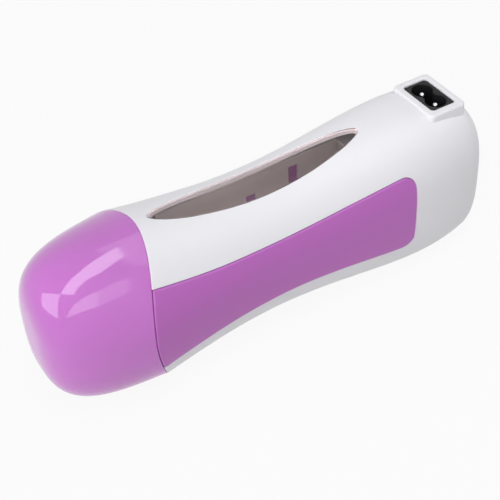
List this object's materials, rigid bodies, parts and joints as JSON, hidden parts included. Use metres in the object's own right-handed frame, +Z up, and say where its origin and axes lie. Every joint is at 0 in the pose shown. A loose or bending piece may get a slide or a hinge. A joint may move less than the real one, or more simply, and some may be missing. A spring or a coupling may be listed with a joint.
{
  "type": "roll-on wax heater",
  "caption": "Waisted hand-held heater for roll-on wax cartridges, with a pull-off cap, an eye-shaped wax level window, two grip panels and a figure 8 mains inlet.",
  "frame": {"origin": "middle of the footprint, on the surface that the heater lies on", "axes": "+X from the cap to the mains inlet end, +Y to the far grip panel, +Z up through the wax level window"},
  "size_m": [0.1954, 0.0622, 0.0671],
  "materials": {
    "white_shell": "polished moulded white plastic",
    "purple_grip": "satin purple plastic",
    "purple_cap": "polished light purple plastic",
    "white_collar": "polished moulded white plastic",
    "smoked_lens": "clear smoke-tinted plastic",
    "chamber_metal": "satin drawn aluminium",
    "screw_steel": "zinc plated steel",
    "grey_silicone": "matte silicone rubber",
    "ceramic_stone": "fired ceramic",
    "electrode_metal": "rolled sheet",
    "amber_film": "amber insulating film",
    "clip_steel": "pressed steel",
    "fuse_ceramic": "glazed ceramic",
    "sleeve_glass_fibre": "woven glass fibre sleeve",
    "inlet_black": "black moulded plastic",
    "pin_nickel": "nickel plated",
    "terminal_brass": "tinned brass",
    "lead_brown": "silicone insulation",
    "lead_blue": "silicone insulation"
  },
  "bodies": {
    "housing": {"front_shell": "white_shell", "rear_shell": "white_shell", "grip_panel_near": "purple_grip", "grip_panel_far": "purple_grip", "neck_collar": "white_collar", "window_lens": "smoked_lens", "heating_chamber": "chamber_metal", "collar_screws": "screw_steel", "cartridge_stop": "grey_silicone", "chamber_pads": "grey_silicone", "ptc_stones": "ceramic_stone", "ptc_electrodes": "electrode_metal", "ptc_film": "amber_film", "heater_clip": "clip_steel", "clip_screws": "screw_steel", "thermal_fuse": "fuse_ceramic", "fuse_sleeve": "sleeve_glass_fibre", "inlet_body": "inlet_black", "inlet_pins": "pin_nickel", "crimp_terminals": "terminal_brass", "live_lead": "lead_brown", "neutral_lead": "lead_blue", "shell_screws": "screw_steel"},
    "cap": {"cap": "purple_cap"}
  },
  "joints": [
    {"name": "cap_pull", "type": "slide", "parent": "housing", "child": "cap", "axis": [-1, 0, 0], "range_m": [0, 0.06]}
  ]
}
